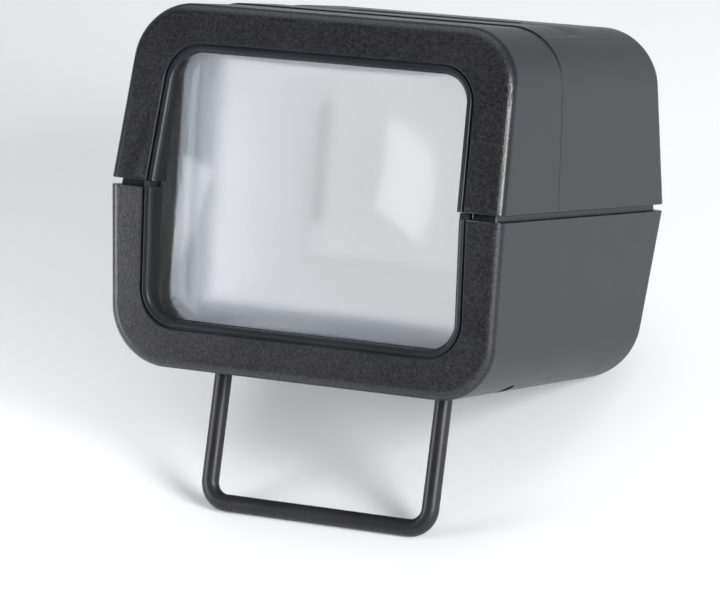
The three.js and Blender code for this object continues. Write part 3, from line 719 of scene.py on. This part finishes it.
def refined(nodeName):
    # a smooth copy of an inner CAD node: joined triangles, fine bevels on its edges
    deselectAll()
    original = frame["nodes"][nodeName]
    bpy.context.view_layer.objects.active = original
    original.select_set(True)
    bpy.ops.object.duplicate()
    piece = bpy.context.object
    piece.name = "fine" + "".join(word.capitalize() for word in nodeName.split("_"))
    takeUp(piece)
    bpy.ops.object.mode_set(mode="EDIT")
    bpy.ops.mesh.select_all(action="SELECT")
    bpy.ops.mesh.remove_doubles(threshold=0.000002)
    bpy.ops.mesh.dissolve_limited(angle_limit=math.radians(inner["flat"]))
    leaveEdit()
    bpy.ops.object.modifier_add(type="BEVEL")
    modifier = piece.modifiers[-1]
    modifier.width = inner["bevel"]
    modifier.segments = 2
    modifier.limit_method = "ANGLE"
    modifier.angle_limit = math.radians(inner["angle"])
    bpy.ops.object.modifier_apply(modifier=modifier.name)
    smoothPiece(piece, inner["angle"])
    return piece


riders = {"slide_carrier": "carrier", "switch_leaf": "switch_leaf"}
outerNodes = ("upper_front_frame", "lower_shell", "rear_cover", "lens", "wire_stand")
springs = ("carrier_spring_left", "carrier_spring_right")  # these squash, so they stay as they are
innerPieces = {}
for name in frame["nodes"]:
    if name in outerNodes + springs:
        continue
    piece = refined(name)
    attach(piece, riders.get(name, "root"))
    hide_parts(name)
    innerPieces[name] = piece
print("inner pieces", len(innerPieces))


# ---- materials ----

def sockets(group, side, rows):
    for kind, title, value in rows:
        socket = group.interface.new_socket(name=title, in_out=side, socket_type="NodeSocket" + kind)
        if value is not None:
            socket.default_value = value


def node(tree, kind, **settings):
    made = tree.nodes.new(kind)
    for key, value in settings.items():
        if key in made.inputs:
            made.inputs[key].default_value = value
        else:
            setattr(made, key, value)
    return made


def math2(tree, operation, first, second, clamp=False):
    made = node(tree, "ShaderNodeMath", operation=operation, use_clamp=clamp)
    for number, value in enumerate((first, second)):
        if isinstance(value, (int, float)):
            made.inputs[number].default_value = value
        else:
            tree.links.new(value, made.inputs[number])
    return made.outputs[0]


def mixColour(tree, share, first, second):
    made = node(tree, "ShaderNodeMix", data_type="RGBA")
    for socket, value in ((made.inputs[0], share), (made.inputs[6], first), (made.inputs[7], second)):
        if isinstance(value, bpy.types.NodeSocket):
            tree.links.new(value, socket)
        else:
            socket.default_value = value
    return made.outputs[2]


def rangeOf(tree, value, low, high, toLow, toHigh, smooth=False):
    made = node(tree, "ShaderNodeMapRange", interpolation_type="SMOOTHSTEP" if smooth else "LINEAR")
    for key, number in (("From Min", low), ("From Max", high), ("To Min", toLow), ("To Max", toHigh)):
        made.inputs[key].default_value = number
    tree.links.new(value, made.inputs["Value"])
    return made.outputs[0]


def grainGroup():
    # moulded or painted surface: fine grain, cloudy sheen, pale flecks and rubbed edges
    group = bpy.data.node_groups.new("mouldedGrain", "ShaderNodeTree")
    sockets(group, "INPUT", (
        ("Color", "Colour", (0.03, 0.03, 0.03, 1)),
        ("Float", "Roughness", 0.5),
        ("Float", "Grain Scale", 2500.0),
        ("Float", "Flecks", 0.3),
        ("Float", "Cloud", 0.06),
        ("Float", "Rub", 0.3),
    ))
    sockets(group, "OUTPUT", (
        ("Color", "Colour", None), ("Float", "Roughness", None), ("Float", "Height", None),
    ))
    given = group.nodes.new("NodeGroupInput")
    result = group.nodes.new("NodeGroupOutput")
    spot = group.nodes.new("ShaderNodeTexCoord").outputs["Object"]
    grain = node(group, "ShaderNodeTexNoise", Detail=2.0, Roughness=0.55)
    group.links.new(spot, grain.inputs["Vector"])
    group.links.new(given.outputs["Grain Scale"], grain.inputs["Scale"])
    cells = node(group, "ShaderNodeTexVoronoi", feature="F1")
    group.links.new(spot, cells.inputs["Vector"])
    group.links.new(math2(group, "MULTIPLY", given.outputs["Grain Scale"], 0.8), cells.inputs["Scale"])
    cloud = node(group, "ShaderNodeTexNoise", Scale=55.0, Detail=3.0, Roughness=0.6)
    group.links.new(spot, cloud.inputs["Vector"])
    pits = rangeOf(group, cells.outputs["Distance"], 0.0, 0.7, 1.0, 0.0, True)
    swell = math2(group, "MULTIPLY", grain.outputs["Fac"], 0.65)
    height = math2(group, "ADD", swell, math2(group, "MULTIPLY", pits, 0.35))
    group.links.new(height, result.inputs["Height"])
    fleck = rangeOf(group, cells.outputs["Distance"], 0.0, 0.22, 1.0, 0.0, True)
    sparse = rangeOf(group, grain.outputs["Fac"], 0.52, 0.66, 0.0, 1.0, True)
    fleck = math2(group, "MULTIPLY", math2(group, "MULTIPLY", fleck, sparse), given.outputs["Flecks"])
    soft = node(group, "ShaderNodeBevel", samples=4, Radius=0.0005)
    shape = group.nodes.new("ShaderNodeNewGeometry")
    facing = node(group, "ShaderNodeVectorMath", operation="DOT_PRODUCT")
    group.links.new(soft.outputs[0], facing.inputs[0])
    group.links.new(shape.outputs["Normal"], facing.inputs[1])
    rub = rangeOf(group, facing.outputs["Value"], 0.995, 0.86, 0.0, 1.0)
    patchy = rangeOf(group, cloud.outputs["Fac"], 0.42, 0.62, 0.25, 1.0)
    rub = math2(group, "MULTIPLY", math2(group, "MULTIPLY", rub, patchy), given.outputs["Rub"])
    worn = mixColour(group, math2(group, "MULTIPLY", rub, 0.35), given.outputs["Colour"], (0.2, 0.2, 0.21, 1))
    haze = math2(group, "MULTIPLY", cloud.outputs["Fac"], given.outputs["Cloud"])
    tinted = mixColour(group, haze, worn, (0.1, 0.1, 0.11, 1))
    mottle = rangeOf(group, grain.outputs["Fac"], 0.34, 0.66, 0.0, 1.0)
    speckle = math2(group, "MULTIPLY", mottle, given.outputs["Flecks"])
    speckled = mixColour(group, speckle, tinted, (0.09, 0.09, 0.095, 1))
    group.links.new(mixColour(group, fleck, speckled, (0.36, 0.37, 0.39, 1)), result.inputs["Colour"])
    centred = math2(group, "SUBTRACT", cloud.outputs["Fac"], 0.5)
    drift = math2(group, "MULTIPLY", centred, given.outputs["Cloud"])
    rough = math2(group, "ADD", given.outputs["Roughness"], drift)
    rough = math2(group, "SUBTRACT", rough, math2(group, "MULTIPLY", rub, 0.18), True)
    group.links.new(rough, result.inputs["Roughness"])
    return group


mouldedGrain = grainGroup()


def grained(name, colour, roughness, scale=2500, flecks=0.0, cloud=0.12, rub=0.3,
            bump=0.15, depth=0.00004, **shaderValues):
    # a Principled material fed by the grain group; plain numbers go on the shader itself
    material = bpy.data.materials.new(name)
    material.use_nodes = True
    tree = material.node_tree
    shader = tree.nodes["Principled BSDF"]
    grain = tree.nodes.new("ShaderNodeGroup")
    grain.node_tree = mouldedGrain
    for key, value in (("Colour", (*colour, 1)), ("Roughness", roughness), ("Grain Scale", scale),
                       ("Flecks", flecks), ("Cloud", cloud), ("Rub", rub)):
        grain.inputs[key].default_value = value
    relief = node(tree, "ShaderNodeBump", Strength=bump, Distance=depth)
    tree.links.new(grain.outputs["Height"], relief.inputs["Height"])
    tree.links.new(relief.outputs["Normal"], shader.inputs["Normal"])
    tree.links.new(grain.outputs["Colour"], shader.inputs["Base Color"])
    tree.links.new(grain.outputs["Roughness"], shader.inputs["Roughness"])
    for key, value in shaderValues.items():
        shader.inputs[key.replace("_", " ")].default_value = value
    return material


def benchSpot(tree):
    # the surface point in bench millimetres
    mapping = node(tree, "ShaderNodeMapping", vector_type="POINT")
    mapping.inputs["Scale"].default_value = (1000, 1000, 1000)
    mapping.inputs["Rotation"].default_value = (leanBack, 0, 0)
    mapping.inputs["Location"].default_value = rowToBench.translation
    tree.links.new(tree.nodes.new("ShaderNodeTexCoord").outputs["Object"], mapping.inputs["Vector"])
    split = tree.nodes.new("ShaderNodeSeparateXYZ")
    tree.links.new(mapping.outputs["Vector"], split.inputs["Vector"])
    return split.outputs


paintedGlow = dict(front=0.18, deep=0.48, start=26.0, end=31.0)  # painted glow: emission on the inner walls by depth, standing in for the lamp's light inside the shaft


def paintedGlowPlastic(name, colour):
    # white inner walls with painted glow: emission that makes them brighter the nearer they are to the opal plate
    material = grained(name, colour, 0.45, scale=1800, cloud=0.1, rub=0.0, bump=0.08)
    tree = material.node_tree
    shader = tree.nodes["Principled BSDF"]
    spot = benchSpot(tree)
    strength = rangeOf(tree, spot[1], paintedGlow["start"], paintedGlow["end"], paintedGlow["front"], paintedGlow["deep"], True)
    near = rangeOf(tree, spot[1], paintedGlow["start"], paintedGlow["end"], 0, 1)
    # painted glow colour: bluish near the lens, white near the opal plate
    tint = mixColour(tree, near, (0.74, 0.82, 0.93, 1), (1.0, 0.99, 1.0, 1))
    scaled = node(tree, "ShaderNodeVectorMath", operation="SCALE")
    tree.links.new(tint, scaled.inputs[0])
    tree.links.new(strength, scaled.inputs["Scale"])
    tree.links.new(scaled.outputs["Vector"], shader.inputs["Emission Color"])
    shader.inputs["Emission Strength"].default_value = 1.0
    return material


def clearPlastic(name, colour, ior, roughness):
    material = grained(
        name, colour, roughness, scale=400, cloud=0.02, rub=0.0, bump=0.0,
        Transmission_Weight=1.0, IOR=ior, Coat_Weight=0.5, Coat_Roughness=0.06)
    return material


bezelGrain = grained(
    "bezelGrain", (0.004, 0.004, 0.005), 0.33, scale=1500, flecks=0.22, rub=0.35,
    bump=0.5, depth=0.00007, Specular_IOR_Level=0.38)
# the sides: smoother plastic with less sheen, its colour lighter and bluer than the bezel's as painted light
sidePlastic = grained(
    "sidePlastic", (0.008, 0.009, 0.013), 0.36, scale=1900, flecks=0.04, rub=0.35,
    bump=0.2, depth=0.00005, Specular_IOR_Level=0.22)
# inner walls of the window opening: a rougher copy of the plastic, its darker colour painted shade in the recess
wallPlastic = grained(
    "wallPlastic", (0.003, 0.003, 0.003), 0.75, scale=2500, rub=0.1,
    bump=0.12, Specular_IOR_Level=0.2)
blackPlastic = grained("blackPlastic", (0.008, 0.008, 0.009), 0.55, scale=2200, bump=0.12)
enamel = grained("enamel", (0.006, 0.006, 0.007), 0.4, scale=1500, flecks=0.05, cloud=0.2, bump=0.25, rub=0.1,
                 Specular_IOR_Level=0.3)
whitePlastic = grained("whitePlastic", (0.78, 0.79, 0.81), 0.42, scale=1800, bump=0.08, rub=0.0)
# shaft walls and opal plate carry painted glow, though they are no lamp
shaftPlastic = paintedGlowPlastic("shaftPlastic", (0.25, 0.27, 0.30))
opalPlastic = paintedGlowPlastic("opalPlastic", (0.40, 0.40, 0.41))
springSteel = grained("springSteel", (0.55, 0.55, 0.57), 0.28, scale=900, bump=0.05, rub=0.0, Metallic=1.0)
screwSteel = grained("screwSteel", (0.42, 0.43, 0.45), 0.32, scale=1200, bump=0.08, rub=0.2, Metallic=1.0)
brass = grained("brass", (0.62, 0.44, 0.17), 0.3, scale=1100, cloud=0.3, bump=0.06, rub=0.0, Metallic=1.0)
clearLens = clearPlastic("clearLens", (0.985, 0.99, 1.0), 1.18, 0.33)
clearBulb = clearPlastic("clearBulb", (0.97, 0.98, 1.0), 1.47, 0.03)
# black for the lens's rim faces: painted shade that darkens the band at the lens edge
groundEdge = grained("groundEdge", (0.004, 0.004, 0.004), 0.6, scale=1500, bump=0.1, rub=0.0)


def sleeveMaterial():
    # a cell's plain sleeve: dark, with bare metal at both ends
    material = grained(
        "cellSleeve", (0.05, 0.09, 0.13), 0.3, scale=1500, cloud=0.1, rub=0.0, bump=0.03, Coat_Weight=0.4)
    tree = material.node_tree
    shader = tree.nodes["Principled BSDF"]
    spot = benchSpot(tree)
    fromMiddle = math2(tree, "ABSOLUTE", spot[0], 0)
    ends = rangeOf(tree, fromMiddle, 22.4, 22.7, 0, 1)
    plain = shader.inputs["Base Color"].links[0].from_socket
    tree.links.new(mixColour(tree, ends, plain, (0.5, 0.5, 0.52, 1)), shader.inputs["Base Color"])
    tree.links.new(ends, shader.inputs["Metallic"])
    return material


cellSleeve = sleeveMaterial()


def dress(piece, *materials):
    piece.data.materials.clear()
    for material in materials:
        piece.data.materials.append(material)


def dressShell(piece):
    # grained bezel; smoother sides, coloured lighter and bluer than the bezel as painted light; inner walls of the
    # opening darker as painted shade
    dress(piece, sidePlastic, bezelGrain, wallPlastic)
    turned = rowToBench.to_3x3().normalized()
    for face in piece.data.polygons:
        corners = [rowToBench @ piece.data.vertices[index].co for index in face.vertices]
        spot = sum(corners, Vector()) / len(corners)
        aim = turned @ face.normal
        half = frameHalf if spot.z > 0 else lowerHalf
        depth = spot.y - half["front"] * abs(spot.z)
        widest = max(abs(corner.x) for corner in corners) - window["halfWidth"]
        tallest = max(abs(corner.z) for corner in corners) - window["halfHeight"]
        inOpening = max(widest, tallest) < window["rim"] + 0.4
        if depth < 0.35 * body["frontRound"] and aim.y < -0.35 and not inOpening:
            face.material_index = 1
        elif inOpening and depth > 2.2:
            # the opening's deep walls get the darker plastic: painted shade in the recess
            face.material_index = 2


for piece in (upperFrontFrame, lowerBody, coverPiece):
    dressShell(piece)
# the lens's rim faces get the black material: painted shade at the lens edge
dress(lensGlass, clearLens, groundEdge)
for face in lensGlass.data.polygons:
    face.material_index = 1 if abs((rowToBench.to_3x3().normalized() @ face.normal).y) < 0.05 else 0
dress(wire, enamel)

finishes = {
    "light_shaft": shaftPlastic, "lens_retainer": shaftPlastic,
    "slide_gate": shaftPlastic, "slide_carrier": shaftPlastic,
    "diffuser": opalPlastic, "lamp_house": whitePlastic,
    "slide_spring": springSteel, "carrier_spring": springSteel, "bulb_base": brass, "bulb_glass": clearBulb,
    "lamp_strip": brass, "switch_leaf": brass, "contact": brass,
    "battery_tray": blackPlastic, "battery_": cellSleeve,
    "housing_screw": screwSteel, "retainer_screw": screwSteel,
}
for name, item in frame["nodes"].items():
    chosen = next((finish for start, finish in finishes.items() if name.startswith(start)), blackPlastic)
    dress(item, chosen)
    if name in innerPieces:
        dress(innerPieces[name], chosen)


# ---- stage ----

studio = dict(azimuth=28.58, elevation=28.53, roll=-8.09, lens=218.4, away=(0.44196, -0.83367, 0.48400))


def addCamera():
    deselectAll()
    centre = (cadLow + cadHigh) / 2
    bpy.ops.object.camera_add(location=centre + Vector(studio["away"]))
    camera = bpy.context.object
    turn = (
        Matrix.Rotation(math.radians(studio["azimuth"]), 4, "Z")
        @ Matrix.Rotation(math.radians(90 - studio["elevation"]), 4, "X")
        @ Matrix.Rotation(math.radians(studio["roll"]), 4, "Z")
    )
    camera.rotation_euler = turn.to_euler()
    camera.data.lens = studio["lens"]
    camera.data.sensor_width = 36
    bpy.context.scene.camera = camera


addCamera()
deselectAll()
bpy.ops.mesh.primitive_plane_add(size=8, location=(0, 0, 0))
floor = bpy.context.object
floor.name = "floor"
paper = grained(
    "paper", (0.80, 0.805, 0.82), 0.7, scale=300, cloud=0.02, rub=0.0, bump=0.0, Emission_Strength=0.15)
paper.node_tree.nodes["Principled BSDF"].inputs["Emission Color"].default_value = (0.97, 0.975, 1, 1)
dress(floor, paper)


def softbox(name, azimuth, elevation, distance, size, power, colour=(1, 1, 1)):
    # a flat light seen from the object at that azimuth and elevation; azimuth 0 is in front
    deselectAll()
    middle = (cadLow + cadHigh) / 2
    turn, rise = math.radians(azimuth), math.radians(elevation)
    away = Vector((math.sin(turn) * math.cos(rise), -math.cos(turn) * math.cos(rise), math.sin(rise)))
    bpy.ops.object.light_add(type="AREA", location=middle + away * distance)
    lamp = bpy.context.object
    lamp.name = name
    lamp.rotation_euler = (-away).to_track_quat("-Z", "Y").to_euler()
    lamp.data.shape = "RECTANGLE"
    lamp.data.size, lamp.data.size_y = size
    lamp.data.energy = power
    lamp.data.color = colour


softbox("overhead", -160, 68, 1.6, (1.7, 1.4), 9.5, (0.98, 0.99, 1))
softbox("right", 64, 22, 0.8, (0.26, 0.38), 9)
softbox("left", -50, 7, 0.28, (0.12, 0.14), 0.46)


def addWorld():
    # a pale studio, dimmer on the side that the front looks at
    world = bpy.data.worlds.new("studio")
    bpy.context.scene.world = world
    world.use_nodes = True
    tree = world.node_tree
    aim = tree.nodes.new("ShaderNodeTexCoord").outputs["Generated"]
    toward = node(tree, "ShaderNodeVectorMath", operation="DOT_PRODUCT")
    toward.inputs[1].default_value = Vector((0.45, 0.8, 0.25)).normalized()
    tree.links.new(aim, toward.inputs[0])
    strength = rangeOf(tree, toward.outputs["Value"], -0.5, 0.5, 0.09, 0.42, True)
    background = tree.nodes["Background"]
    background.inputs["Color"].default_value = (0.93, 0.96, 1, 1)
    tree.links.new(strength, background.inputs["Strength"])


addWorld()
bpy.context.scene.view_settings.view_transform = "Standard"
